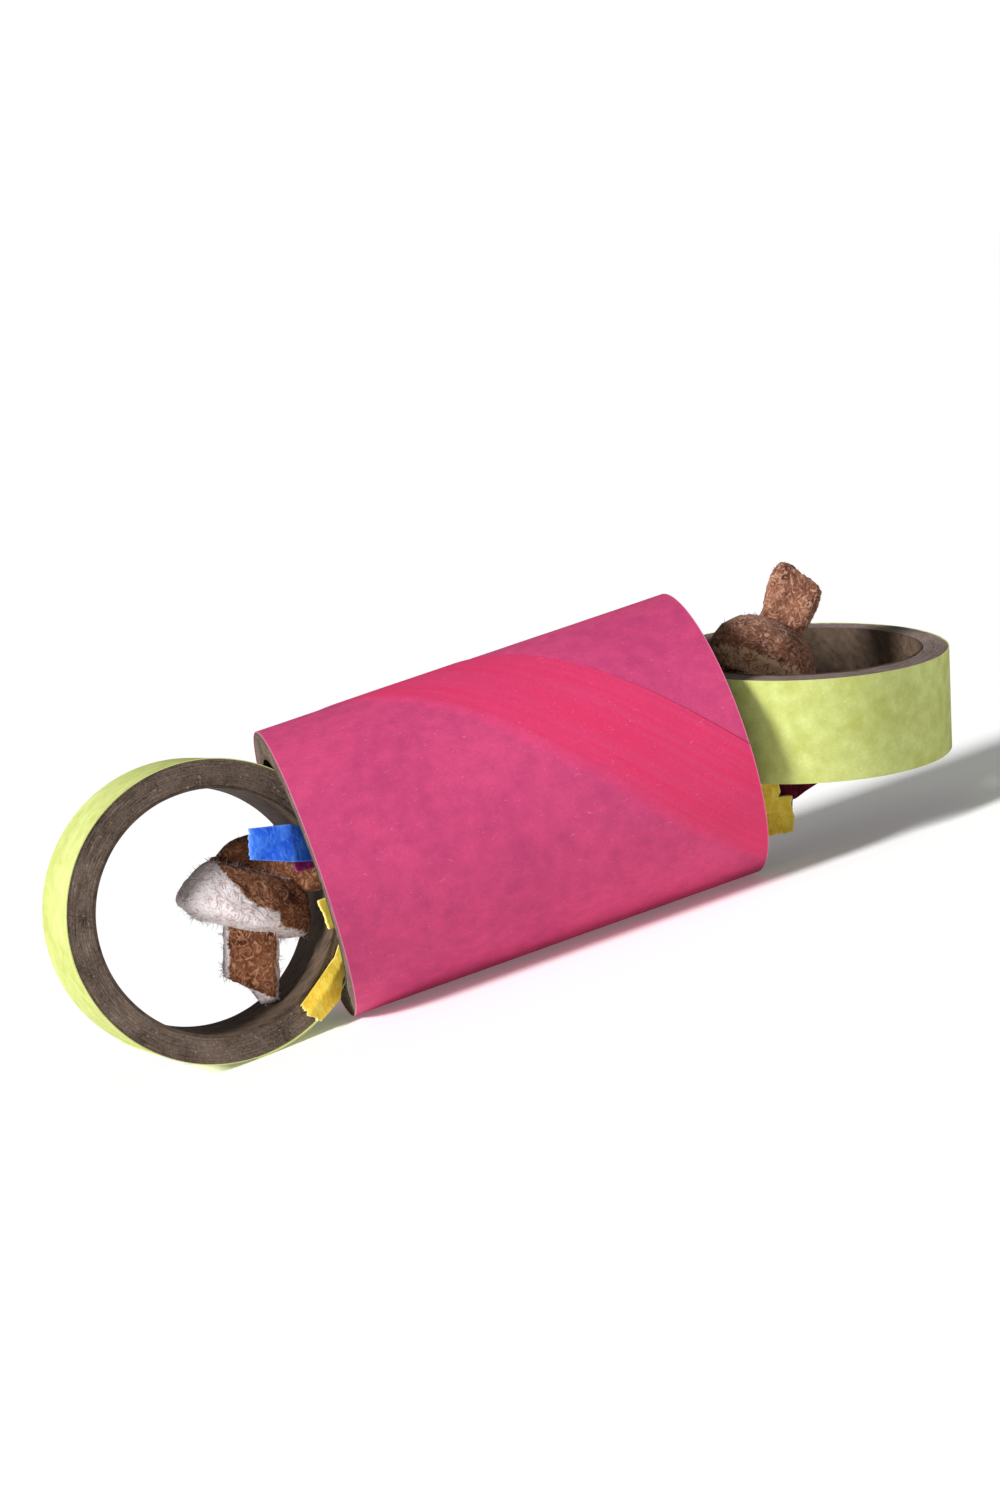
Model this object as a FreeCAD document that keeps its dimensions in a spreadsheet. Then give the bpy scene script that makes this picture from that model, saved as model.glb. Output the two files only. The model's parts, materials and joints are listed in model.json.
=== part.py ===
import FreeCAD, Part
import os
import re

# A foot toy for a parrot: one pink board tube with a board ring lodged in each mouth.
# A suede lace runs through the tube and the wall of each ring, and a knot inside each ring
# holds it there. Folded card strips are stuffed into the mouths for the bird to pull out.
# Millimetres. X runs along the tube, Z is up, and the floor is Z = 0 under the tube's middle.

doc = FreeCAD.newDocument("foot_toy")

# ---------------------------------------------------------------- driving dimensions
DIMENSIONS = {
    # the tube
    "tube_length": 73.7,
    "tube_diameter": 50.8,
    # board stock: a paper wrap outside, wound board, a smooth liner ply inside
    "wrap_thickness": 0.3,
    "board_thickness": 4.4,
    "liner_thickness": 0.4,
    # the rings, cut from the same stock
    "ring_diameter": 50.8,
    "ring_width": 17.5,
    "seat_gap": 0.25,
    "left_roll": 90.0,
    "left_lean": 10.0,
    "right_roll": 9.0,
    "right_lean": 12.6,
    # the suede lace
    "lace_width": 9.0,
    "lace_thickness": 4.5,
    "neck_diameter": 7.2,
    "hole_clearance": 0.35,
    "joint_gap": 0.1,
    "neck_run": 5.0,
    "neck_inset": 7.0,
    # knots and tails
    "turn_ease": 0.5,
    "knot_depth": 14.0,
    "left_knot_length": 21.0,
    "left_knot_slope": 32.0,
    "left_knot_along": 7.6,
    "left_knot_drop": 1.6,
    "left_post_start": 5.0,
    "left_post_short": 4.0,
    "left_post_rise": 4.4,
    "left_post_back": 1.8,
    "left_post_slope": 13.0,
    "left_tail_slope": 19.0,
    "left_tail_length": 15.0,
    "right_knot_length": 17.6,
    "right_knot_heading": 141.0,
    "right_knot_lean": 37.3,
    "right_knot_along": 7.2,
    "right_knot_front": 0.2,
    "right_knot_rise": 8.0,
    "right_post_start": 15.6,
    "right_post_rise": 1.0,
    "right_post_slope": 28.0,
    "right_post_length": 10.0,
    "right_tail_length": 17.5,
    # card strips in the left mouth: reach is out of the mouth and tuck into it
    "card_thickness": 1.0,
    "card_gap": 0.3,
    "tongue_width": 4.2,
    "blue_reach": 9.0,
    "blue_tuck": 11.0,
    "blue_width": 6.2,
    "blue_level": 4.4,
    "blue_sink": 1.8,
    "blue_fold": 1.5,
    "blue_lap": 1.5,
    "magenta_reach": 3.2,
    "magenta_tuck": 10.0,
    "magenta_width": 5.6,
    "magenta_level": 1.2,
    "peek_reach": 1.6,
    "peek_tuck": 8.0,
    "peek_width": 5.4,
    "peek_level": 9.2,
    "fold_reach": 6.5,
    "fold_tuck": 4.6,
    "fold_width": 4.6,
    "fold_slope": 30.0,
    "fold_start": 2.2,
    "fold_lap": 3.3,
    "fold_level": 15.6,
    "fold_low": 17.0,
    "fold_high": 7.5,
    # card strips in the right mouth
    "right_tuck": 6.0,
    "pinch_run": 2.0,
    "step_lap": 1.0,
    "front_reach": 11.0,
    "front_width": 8.8,
    "front_depth": 5.4,
    "low_reach": 13.8,
    "low_width": 6.7,
    "low_depth": 3.4,
    "low_drop": 6.3,
    "red_reach": 14.3,
    "red_width": 11.2,
    "red_depth": 1.4,
    "red_tip_reach": 20.2,
    "red_tip_width": 6.4,
    # card strips packed in the middle of the tube
    "core_margin": 4.0,
    "core_inset": 8.4,
    "core_width": 11.0,
    "core_flap": 6.0,
    "core_flap_slope": 20.0,
}

sheet = doc.addObject("Spreadsheet::Sheet", "Sizes")
for row, (alias, value) in enumerate(DIMENSIONS.items(), start=1):
    sheet.set(f"A{row}", str(value))
    sheet.setAlias(f"A{row}", alias)
doc.recompute()


def sized(text):
    """Put the sheet's name before each alias used in an expression."""
    return re.sub(r"[a-z_]+", lambda word: f"Sizes.{word[0]}" if word[0] in DIMENSIONS
                  else word[0], text)


TUBE_RADIUS = "tube_diameter / 2"
WALL = "(wrap_thickness + board_thickness + liner_thickness)"
BORE_RADIUS = f"(tube_diameter / 2 - {WALL})"
RING_RADIUS = "ring_diameter / 2"
RING_BORE = f"(ring_diameter / 2 - {WALL})"
# A ring of radius R and width w stops on the rim of a round mouth of radius b when its
# centre is sqrt(R^2 + (w/2)^2 - b^2) outside the mouth, however far it leans.
SEAT = (f"sqrt(({RING_RADIUS}) ^ 2 + (ring_width / 2) ^ 2"
        f" - ({BORE_RADIUS} - seat_gap) ^ 2)")


def place(x="0", y="0", z="0", turns=()):
    """Expression for a placement: a point, then turns as (axis, degrees), outermost first."""
    axes = {"x": "1; 0; 0", "y": "0; 1; 0", "z": "0; 0; 1"}
    spin = " * ".join(
        f"create(<<rotation>>; create(<<vector>>; {axes[axis]}); {sized(angle)})"
        for axis, angle in (turns or (("z", "0"),)))
    return (f"create(<<placement>>; create(<<vector>>; {sized(x)}; {sized(y)}; {sized(z)});"
            f" {spin})")


def primitive(kind, name, where, **sizes):
    shape = doc.addObject(f"Part::{kind}", name)
    for size, text in sizes.items():
        shape.setExpression(size, sized(text))
    shape.setExpression("Placement", where)
    return shape


def cut(name, base, tool):
    result = doc.addObject("Part::Cut", name)
    result.Base = base
    result.Tool = tool
    return result


def fuse(name, pieces):
    result = doc.addObject("Part::MultiFuse", name)
    result.Shapes = pieces
    result.Refine = True
    return result


SUBPARTS = []


def subpart(piece, label, where=None):
    """Name a finished piece, and put it where its expression says."""
    piece.Label = label
    if where:
        piece.setExpression("Placement", where)
    SUBPARTS.append(piece)
    return piece


# ---------------------------------------------------------------- board stock: three plies
PLIES = {
    "wrap": ("0", "wrap_thickness"),
    "board": ("wrap_thickness", "(wrap_thickness + board_thickness)"),
    "liner": ("(wrap_thickness + board_thickness)", WALL),
}


def ply(name, radius, length, outside, inside, where):
    """One round ply of the stock, between two depths below its outer radius."""
    outer = primitive("Cylinder", f"{name}_outer", where,
                      Radius=f"{radius} - {outside}", Height=length)
    inner = primitive("Cylinder", f"{name}_inner", where,
                      Radius=f"{radius} - {inside}", Height=length)
    return cut(f"{name}_shell", outer, inner)


for part_of_wall, (outside, inside) in PLIES.items():
    tube_start = place("0 - tube_length / 2", "0", TUBE_RADIUS, (("y", "90"),))
    subpart(ply(f"tube_{part_of_wall}", TUBE_RADIUS, "tube_length", outside, inside, tube_start),
            f"tube_{part_of_wall}")

# In a ring's own frame Z is the ring's axis and X points from its centre to the lace hole.
RING_PLACES = {
    "left": place(f"0 - tube_length / 2 - {SEAT}", "0", TUBE_RADIUS,
                  (("x", "left_roll"), ("y", "left_lean"))),
    "right": place(f"tube_length / 2 + {SEAT}", "0", TUBE_RADIUS,
                   (("x", "right_roll"), ("y", "right_lean"), ("z", "180"))),
}
rings = {}
for side, ring_place in RING_PLACES.items():
    for part_of_wall, (outside, inside) in PLIES.items():
        name = f"{side}_ring_{part_of_wall}"
        hoop = ply(name, RING_RADIUS, "ring_width", outside, inside,
                   place(z="0 - ring_width / 2"))
        lace_hole = primitive("Cylinder", f"{name}_hole", place(turns=(("y", "90"),)),
                              Radius="neck_diameter / 2 + hole_clearance",
                              Height="ring_diameter")
        rings[name] = subpart(cut(name, hoop, lace_hole), name, ring_place)


# ---------------------------------------------------------------- knots inside the rings
def neck(side):
    """The lace where it is squeezed round in the hole of a ring."""
    start = f"({RING_BORE} - neck_inset)"
    return primitive("Cylinder", f"{side}_neck", place(x=start, turns=(("y", "90"),)),
                     Radius="neck_diameter / 2",
                     Height=f"{RING_RADIUS} - {start} + joint_gap")


def wrap_turn(side, length, where):
    """The turn of the knot that goes round the lace: a flattened drum as tall as the lace."""
    oval = doc.addObject("Part::Ellipse", f"{side}_oval")
    oval.setExpression("MajorRadius", sized(f"{length} / 2"))
    oval.setExpression("MinorRadius", sized("knot_depth / 2"))
    drum = doc.addObject("Part::Extrusion", f"{side}_drum")
    drum.Base = oval
    drum.DirMode = "Custom"
    drum.Dir = FreeCAD.Vector(0, 0, 1)
    drum.Solid = True
    drum.Symmetric = True
    drum.setExpression("LengthFwd", sized("lace_width - turn_ease"))
    drum.setExpression("Placement", where)
    return drum


def strap(name, length, where):
    """A flat length of lace, from the placed point along its own X."""
    across = place(y="0 - lace_width / 2", z="0 - lace_thickness / 2")
    return primitive("Box", name, f"{where} * {across}", Length=length,
                     Width="lace_width", Height="lace_thickness")


LEFT_KNOT = ("left_knot_along", "0 - left_knot_drop", "0")
left_turn = wrap_turn("left", "left_knot_length",
                      place(*LEFT_KNOT, (("z", "0 - left_knot_slope"), ("x", "90"))))
left_post = strap("left_post", f"{RING_BORE} - left_post_start - left_post_short",
                  place("left_post_start", "left_post_rise", "0 - left_post_back",
                        (("z", "0 - left_post_slope"),)))
left_tail = strap("left_tail", "left_tail_length",
                  place(*LEFT_KNOT, (("z", "0 - 90 - left_tail_slope"),)))
subpart(fuse("left_knot_pieces", [neck("left"), left_turn, left_post, left_tail]),
        "left_knot", RING_PLACES["left"])

RIGHT_KNOT = ("right_knot_along", "right_knot_front", "right_knot_rise")
RIGHT_TURNS = (("z", "0 - right_knot_heading"), ("y", "right_knot_lean"),
               ("z", "right_knot_heading"))
right_turn = wrap_turn("right", "right_knot_length", place(*RIGHT_KNOT, RIGHT_TURNS))
right_post = strap("right_post", "right_post_length",
                   place("right_post_start", "0", "right_post_rise",
                         (("y", "180 + right_post_slope"),)))
right_tail = strap("right_tail", "right_tail_length",
                   place(*RIGHT_KNOT, RIGHT_TURNS + (("y", "0 - 90"),)))
subpart(fuse("right_knot_pieces", [neck("right"), right_turn, right_post, right_tail]),
        "right_knot", RING_PLACES["right"])


# ---------------------------------------------------------------- card strips at the mouths
BESIDE_RING = "(ring_width / 2 + card_gap)"


def flat_panel(name, near, far, low, high, layer, frame=None):
    """A panel beside a ring's face: along X between near and far, across between low and high."""
    where = place(near, low, f"{BESIDE_RING} + {layer} * (card_thickness + card_gap)")
    return primitive("Box", name, f"{frame} * {where}" if frame else where,
                     Length=f"{far} - ({near})", Width=f"{high} - ({low})",
                     Height="card_thickness")


def upright_panel(name, near, far, low, high, depth):
    """A panel on edge below a ring, along X between near and far, facing the ring's Y."""
    return primitive("Box", name, place(near, depth, f"0 - ({high})"),
                     Length=f"{far} - ({near})", Width="card_thickness",
                     Height=f"{high} - ({low})")


# Left: the strips lie flat over the ring's near face, folded where they leave the mouth.
blue_out = flat_panel("blue_out", f"{SEAT} - blue_reach", f"{SEAT} - blue_fold",
                      "blue_level", "blue_level + blue_width", "1")
blue_in = flat_panel("blue_in", f"{SEAT} - blue_fold - blue_lap", f"{SEAT} + blue_tuck",
                     "blue_level - blue_sink", "blue_level - blue_sink + blue_width", "1")
subpart(fuse("blue_pieces", [blue_out, blue_in]), "left_blue_strip", RING_PLACES["left"])

subpart(flat_panel("magenta_panel", f"{SEAT} - magenta_reach", f"{SEAT} + magenta_tuck",
                   "magenta_level", "magenta_level + magenta_width", "0", RING_PLACES["left"]),
        "left_magenta_strip")

subpart(flat_panel("peek_panel", f"{SEAT} - peek_reach", f"{SEAT} + peek_tuck",
                   "0 - peek_level", "0 - peek_level + peek_width", "1", RING_PLACES["left"]),
        "left_short_yellow_strip")

fold_out = primitive("Box", "fold_out",
                     place(f"{SEAT} - fold_start - fold_width / 2", "0 - fold_level",
                           BESIDE_RING, (("z", "180 + fold_slope"),)),
                     Length="fold_reach", Width="fold_width", Height="card_thickness")
fold_in = flat_panel("fold_in", f"{SEAT} - fold_start - fold_lap", f"{SEAT} + fold_tuck",
                     "0 - fold_high - tongue_width", "0 - fold_high", "0")
fold_step = flat_panel("fold_step", f"{SEAT} - fold_start - fold_lap", f"{SEAT} - fold_start",
                       "0 - fold_low", "0 - fold_high", "0")
subpart(fuse("fold_pieces", [fold_out, fold_in, fold_step]), "left_folded_yellow_strip",
        RING_PLACES["left"])

# Right: the strips hang on edge below the ring, each pinched narrower in the mouth. The low one
# hangs on a short step, and the red one has a narrower tip.
for strip in ("front_yellow", "low_yellow", "red"):
    sizes = strip.split("_")[0]
    label = f"right_{strip}_strip"
    drop = "low_drop" if strip == "low_yellow" else "0"
    near_end, pinch = f"{SEAT} - {sizes}_reach", f"{SEAT} - pinch_run"
    low, depth = f"{BESIDE_RING} + {drop}", f"{sizes}_depth"
    pieces = [upright_panel(f"{label}_panel", near_end, pinch, low,
                            f"{low} + {sizes}_width", depth),
              upright_panel(f"{label}_tongue", f"{near_end} + pinch_run",
                            f"{SEAT} + right_tuck", BESIDE_RING,
                            f"{BESIDE_RING} + tongue_width", depth)]
    if strip == "low_yellow":
        pieces.append(upright_panel(f"{label}_step", f"{near_end} + pinch_run", pinch,
                                    BESIDE_RING, f"{low} + step_lap", depth))
    if strip == "red":
        pieces.append(upright_panel(f"{label}_tip", f"{SEAT} - red_tip_reach",
                                    f"{near_end} + pinch_run", low, f"{low} + red_tip_width",
                                    depth))
    subpart(fuse(f"{label}_pieces", pieces), label, RING_PLACES["right"])

# ---------------------------------------------------------------- card in the tube's middle
CORE_HALF = (f"(tube_length / 2 - max(blue_tuck; {RING_RADIUS} - {SEAT})"
             " - core_margin)")
CORE_STRIPS = (("core_green_strip", "45"), ("core_orange_strip", "135"),
               ("core_purple_strip", "225"), ("core_teal_strip", "315"))
for label, angle in CORE_STRIPS:
    flat = primitive("Box", f"{label}_flat",
                     place(f"0 - {CORE_HALF}", "0 - core_width / 2",
                           f"{BORE_RADIUS} - core_inset"),
                     Length=f"2 * {CORE_HALF}", Width="core_width", Height="card_thickness")
    flap = primitive("Box", f"{label}_flap",
                     place(f"0 - {CORE_HALF}", "core_width / 2 - card_thickness",
                           f"{BORE_RADIUS} - core_inset", (("x", "core_flap_slope"),)),
                     Length=f"2 * {CORE_HALF}", Width="card_thickness", Height="core_flap")
    subpart(fuse(f"{label}_pieces", [flat, flap]), label,
            place(z=TUBE_RADIUS, turns=(("x", angle),)))

doc.recompute()

# ---------------------------------------------------------------- the lace inside the tube
# Each end is round and in line with a ring's hole, and a flat run joins the two ends.
neck_radius = sheet.neck_diameter / 2
first = sheet.ring_diameter / 2 + 2 * sheet.joint_gap
last = first + sheet.neck_run
round_ends = []
run_points = []
for side in ("left", "right"):
    frame = rings[f"{side}_ring_board"].Placement
    start = frame.multVec(FreeCAD.Vector(first, 0, 0))
    end = frame.multVec(FreeCAD.Vector(last, 0, 0))
    round_ends.append(Part.makeCylinder(neck_radius, sheet.neck_run, start, end - start))
    run_points.append((start + end) / 2)
run = run_points[1] - run_points[0]
flat_run = Part.makeBox(run.Length, sheet.lace_width, sheet.lace_thickness)
flat_run.translate(FreeCAD.Vector(0, -sheet.lace_width / 2, -sheet.lace_thickness / 2))
flat_run.Placement = FreeCAD.Placement(
    run_points[0], FreeCAD.Rotation(FreeCAD.Vector(1, 0, 0), run)).multiply(flat_run.Placement)
lace = doc.addObject("Part::Feature", "lace")
lace.Shape = flat_run.fuse(round_ends).removeSplitter()
subpart(lace, "lace_run")

doc.recompute()

# ---------------------------------------------------------------- checks and STEP files
faults = [f"{item.Name} failed" for item in doc.Objects
          if "Invalid" in item.State or "Error" in item.State]
for piece in SUBPARTS:
    if piece.Shape.isNull() or not piece.Shape.isValid() or piece.Shape.Volume <= 0:
        faults.append(f"{piece.Label} has no valid shape")
    elif len(piece.Shape.Solids) != 1:
        faults.append(f"{piece.Label} has {len(piece.Shape.Solids)} solids")
if faults:
    raise RuntimeError("; ".join(faults))

os.makedirs("parts", exist_ok=True)
for piece in SUBPARTS:
    piece.Shape.exportStep(f"parts/{piece.Label}.step")
    print(f"{piece.Label}: {piece.Shape.Volume / 1000:.2f} cm3")
seat_distance = rings["right_ring_board"].Placement.Base.x - sheet.tube_length / 2
print(f"ring centres stand {seat_distance:.2f} mm outside the mouths")
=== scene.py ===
import json
import math
import random
import bmesh
import bpy
from mathutils import Matrix, Quaternion, Vector, noise


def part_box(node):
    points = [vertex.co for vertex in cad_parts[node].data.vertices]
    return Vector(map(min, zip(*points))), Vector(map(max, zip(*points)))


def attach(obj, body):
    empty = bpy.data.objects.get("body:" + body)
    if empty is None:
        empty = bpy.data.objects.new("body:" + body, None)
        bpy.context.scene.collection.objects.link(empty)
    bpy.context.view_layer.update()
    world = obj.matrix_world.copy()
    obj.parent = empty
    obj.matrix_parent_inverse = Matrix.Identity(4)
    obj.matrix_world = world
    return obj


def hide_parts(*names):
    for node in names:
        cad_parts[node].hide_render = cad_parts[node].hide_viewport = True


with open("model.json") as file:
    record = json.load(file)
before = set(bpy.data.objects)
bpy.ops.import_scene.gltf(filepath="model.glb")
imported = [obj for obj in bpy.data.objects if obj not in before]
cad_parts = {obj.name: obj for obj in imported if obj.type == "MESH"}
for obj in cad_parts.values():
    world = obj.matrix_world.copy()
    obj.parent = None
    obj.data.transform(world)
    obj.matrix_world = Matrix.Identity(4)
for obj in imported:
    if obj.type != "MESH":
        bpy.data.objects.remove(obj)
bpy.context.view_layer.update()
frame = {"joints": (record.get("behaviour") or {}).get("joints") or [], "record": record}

MM = 0.001

# ------------------------------------------------------------------ where the toy is seen from
# A long-lens view from the front and a little above, turned about its own line of sight,
# so that the tube climbs from lower left to upper right.
CAMERA_AT = (-88.05 * MM, -511.48 * MM, 93.35 * MM)
LOOKED_AT = (1.4, 0.0, 34.4)
LENS, SENSOR, NEAREST = 73.98, 36.0, 0.01
ROLL = math.radians(-17.89)

bpy.ops.object.select_all(action="DESELECT")
bpy.ops.object.camera_add(location=CAMERA_AT)
camera = bpy.context.object
camera.name = "camera"
camera.data.lens = LENS
camera.data.sensor_width = SENSOR
camera.data.clip_start = NEAREST
line_of_sight = Vector(LOOKED_AT) * MM - camera.location
camera.rotation_mode = "QUATERNION"
camera.rotation_quaternion = (line_of_sight.to_track_quat("-Z", "Y")
                              @ Quaternion((0, 0, 1), ROLL))
bpy.context.scene.camera = camera

# ------------------------------------------------------------------ floor and light
# A white matt floor with a faint glow of its own runs on as far as can be seen. One soft key
# light stands high on the left. The white surroundings fill in the rest, and look brighter
# than the light they give.
FLOOR_RADII = (0.5, 2.0, 8.0, 30.0)
FLOOR_DROP = 0.02 * MM
FLOOR_EMISSION = 0.12
FILL_GLOW, SEEN_GLOW = 0.18, 1.06
KEY_AT = (-1.2, -0.53, 0.85)
KEY_ENERGY, KEY_SPREAD = 4.25, math.radians(16)
WHITE = (1.0, 1.0, 1.0, 1.0)

bpy.ops.object.select_all(action="DESELECT")
bpy.ops.mesh.primitive_circle_add(vertices=64, radius=FLOOR_RADII[0], fill_type="NGON")
floor = bpy.context.object
floor.name = "floor"
bpy.ops.object.mode_set(mode="EDIT")
bpy.ops.mesh.select_mode(type="EDGE")
bpy.ops.mesh.select_all(action="SELECT")
for inner, outer in zip(FLOOR_RADII, FLOOR_RADII[1:]):
    bpy.ops.mesh.extrude_edges_move()
    bpy.ops.transform.resize(value=(outer / inner, outer / inner, 1), center_override=(0, 0, 0))
bpy.ops.mesh.select_all(action="SELECT")
bpy.ops.mesh.normals_make_consistent(inside=False)
bpy.ops.object.mode_set(mode="OBJECT")
floor.data.transform(Matrix.Translation((0, 0, -FLOOR_DROP)))


def linear(red, green, blue):
    """A colour as a paint chart gives it, 0 to 255, in the linear form a shader wants."""
    return tuple((value / 255 / 12.92 if value <= 10 else ((value / 255 + 0.055) / 1.055) ** 2.4)
                 for value in (red, green, blue)) + (1.0,)


def new_finish(name, roughness, specular):
    """A new material, its node tree and its shader."""
    finish = bpy.data.materials.new(name)
    finish.use_nodes = True
    shader = finish.node_tree.nodes["Principled BSDF"]
    shader.inputs["Roughness"].default_value = roughness
    shader.inputs["Specular IOR Level"].default_value = specular
    return finish, finish.node_tree, shader


matt_white, tree, shader = new_finish("matt_white", 0.95, 0.1)
shader.inputs["Base Color"].default_value = linear(254, 254, 254)
shader.inputs["Emission Color"].default_value = WHITE
shader.inputs["Emission Strength"].default_value = FLOOR_EMISSION
floor.data.materials.append(matt_white)

world = bpy.context.scene.world or bpy.data.worlds.new("surroundings")
bpy.context.scene.world = world
world.use_nodes = True
sky = world.node_tree
fill = sky.nodes["Background"]
fill.inputs["Color"].default_value = WHITE
fill.inputs["Strength"].default_value = FILL_GLOW
seen = sky.nodes.new("ShaderNodeBackground")
seen.inputs["Color"].default_value = WHITE
seen.inputs["Strength"].default_value = SEEN_GLOW
either = sky.nodes.new("ShaderNodeMixShader")
sky.links.new(sky.nodes.new("ShaderNodeLightPath").outputs["Is Camera Ray"], either.inputs[0])
sky.links.new(fill.outputs[0], either.inputs[1])
sky.links.new(seen.outputs[0], either.inputs[2])
sky.links.new(either.outputs[0], sky.nodes["World Output"].inputs["Surface"])
bpy.context.scene.view_settings.view_transform = "Standard"

bpy.ops.object.light_add(type="SUN", location=KEY_AT)
key = bpy.context.object
key.name = "key_light"
key.data.energy = KEY_ENERGY
key.data.angle = KEY_SPREAD
key.rotation_mode = "QUATERNION"
key.rotation_quaternion = (-key.location).to_track_quat("-Z", "Y")


# ------------------------------------------------------------------ the tube's wound core
# Grey-brown board, wound from about nine plies and sawn to length. The saw leaves the plies
# showing as fine rings in each end, with a few fibres torn up.
STOCK_RADIUS, WRAP, BOARD, LINER = 25.4 * MM, 0.3 * MM, 4.4 * MM, 0.4 * MM
CORE_SIDES, PLIES = 240, 9
GROOVE, BORE_EASE = 0.05 * MM, 0.02 * MM
SAW_LOSS, SAW_MARK, NEAR_END = 0.16 * MM, 0.06 * MM, 0.4 * MM
SHARP = math.radians(40)


def add_node(tree, kind, inputs=None, **settings):
    """Put a shader node in a tree, set it, and fill its sockets with values or links."""
    made = tree.nodes.new("ShaderNode" + kind)
    for setting, value in settings.items():
        setattr(made, setting, value)
    for socket, value in (inputs or {}).items():
        if isinstance(value, bpy.types.NodeSocket):
            tree.links.new(value, made.inputs[socket])
        else:
            made.inputs[socket].default_value = value
    return made


def spread(tree, value, low, high, top=1.0):
    """Stretch a value so that low becomes 0 and high becomes top, and clamp it there."""
    return add_node(tree, "MapRange", {"Value": value, "From Min": low, "From Max": high,
                                       "To Max": top}).outputs[0]


def worked(tree, operation, *values):
    """One step of arithmetic on values or links."""
    return add_node(tree, "Math", dict(enumerate(values)), operation=operation).outputs[0]


def tinted(tree, share, first, second):
    """Mix two colours by a share."""
    mixer = tree.nodes.new("ShaderNodeMix")
    mixer.data_type = "RGBA"
    for socket, value in ((0, share), (6, first), (7, second)):
        if isinstance(value, bpy.types.NodeSocket):
            tree.links.new(value, mixer.inputs[socket])
        else:
            mixer.inputs[socket].default_value = value
    return mixer.outputs[2]


def grain(tree, coordinates, scale, detail, distortion=0.0):
    """Noise of a size, as a value round one half."""
    return add_node(tree, "TexNoise", {"Vector": coordinates, "Scale": scale, "Detail": detail,
                                       "Distortion": distortion}).outputs[0]


def stretched(tree, coordinates, scale):
    """Coordinates scaled differently along each axis."""
    return add_node(tree, "Mapping", {"Vector": coordinates, "Scale": scale}).outputs[0]


def raised(tree, height, strength, distance, under=None):
    """A bump, on top of the bump under it."""
    inputs = {"Height": height, "Strength": strength, "Distance": distance}
    if under:
        inputs["Normal"] = under
    return add_node(tree, "Bump", inputs).outputs[0]


def board_finish(name, dark, pale, speck):
    """Wound board seen in section: fine rings, broken up, with pale torn fibres."""
    finish, tree, shader = new_finish(name, 0.88, 0.25)
    here = add_node(tree, "TexCoord").outputs["Object"]
    wound = add_node(tree, "Attribute", attribute_name="wound").outputs["Vector"]
    rings = grain(tree, stretched(tree, wound, (5.0, 5.0, 5.5)), 1.0, 5.0)
    blotch = grain(tree, here, 220.0, 5.0)
    grit = grain(tree, here, 2600.0, 3.0)
    tone = worked(tree, "ADD", rings, blotch)
    tone = worked(tree, "ADD", tone, grit)
    colour = tinted(tree, spread(tree, tone, 1.15, 1.85), dark, pale)
    flecks = grain(tree, here, 1500.0, 2.0)
    colour = tinted(tree, spread(tree, flecks, 0.66, 0.74, 0.55), colour, speck)
    tree.links.new(colour, shader.inputs["Base Color"])
    bump = raised(tree, rings, 0.7, 0.12 * MM)
    bump = raised(tree, grit, 0.6, 0.08 * MM, bump)
    tree.links.new(bump, shader.inputs["Normal"])
    return finish


def saw_faces(piece, depth, seed):
    """Roughen the sawn ends: each ply wanders a little and stands proud or shy by a hair."""
    away = Vector((seed * 7.3, seed * 1.9, seed * 4.1))
    for corner in piece.data.vertices:
        if abs(abs(corner.co.z) - depth) < NEAR_END:
            spot = corner.co / MM
            out = Vector((corner.co.x, corner.co.y, 0)).normalized()
            corner.co += out * SAW_MARK * noise.noise(spot * 0.35 + away)
            corner.co.z += SAW_MARK * noise.noise(spot * 0.9 + away * 2)
            corner.co.z += SAW_MARK * 0.6 * noise.noise(spot * 3.1 - away)


def wound_core(name, radius, wall, length, seed):
    """Board stock cut to length: both ends inset ply by ply, then bridged to make the bore."""
    bpy.ops.object.select_all(action="DESELECT")
    bpy.ops.mesh.primitive_cylinder_add(vertices=CORE_SIDES, radius=radius,
                                        depth=length - SAW_LOSS)
    core = bpy.context.object
    core.name = name
    bpy.ops.object.mode_set(mode="EDIT")
    bpy.ops.mesh.select_mode(type="FACE")
    bpy.ops.mesh.select_all(action="DESELECT")
    shape = bmesh.from_edit_mesh(core.data)
    for face in shape.faces:
        face.select_set(abs(face.normal.z) > 0.9)
    bmesh.update_edit_mesh(core.data)
    for ply in range(PLIES):
        bpy.ops.mesh.inset(thickness=wall / PLIES - 2 * GROOVE, depth=0)
        if ply < PLIES - 1:
            bpy.ops.mesh.inset(thickness=GROOVE, depth=-GROOVE)
            bpy.ops.mesh.inset(thickness=GROOVE, depth=GROOVE)
        else:
            bpy.ops.mesh.inset(thickness=2 * GROOVE, depth=-BORE_EASE)
    bpy.ops.mesh.bridge_edge_loops()
    bpy.ops.object.mode_set(mode="OBJECT")
    saw_faces(core, length / 2, seed)
    bpy.ops.object.shade_smooth_by_angle(angle=SHARP)
    return core


def finish_stock(piece, place, finish):
    """Record where each point lies in the winding, move the piece into place, and coat it."""
    wound = piece.data.attributes.new("wound", "FLOAT_VECTOR", "POINT")
    for corner in piece.data.vertices:
        out = math.hypot(corner.co.x, corner.co.y)
        wound.data[corner.index].vector = (corner.co.x / out, corner.co.y / out, out / MM)
    piece.data.transform(place)
    piece.data.materials.clear()
    piece.data.materials.append(finish)


def own_frame(centre, axis, toward):
    """A frame with Z along an axis and X towards a point of interest."""
    z = Vector(axis).normalized()
    x = Vector(toward)
    x = (x - z * x.dot(z)).normalized()
    y = z.cross(x)
    return Matrix.Translation(centre) @ Matrix((x, y, z)).transposed().to_4x4()


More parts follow.
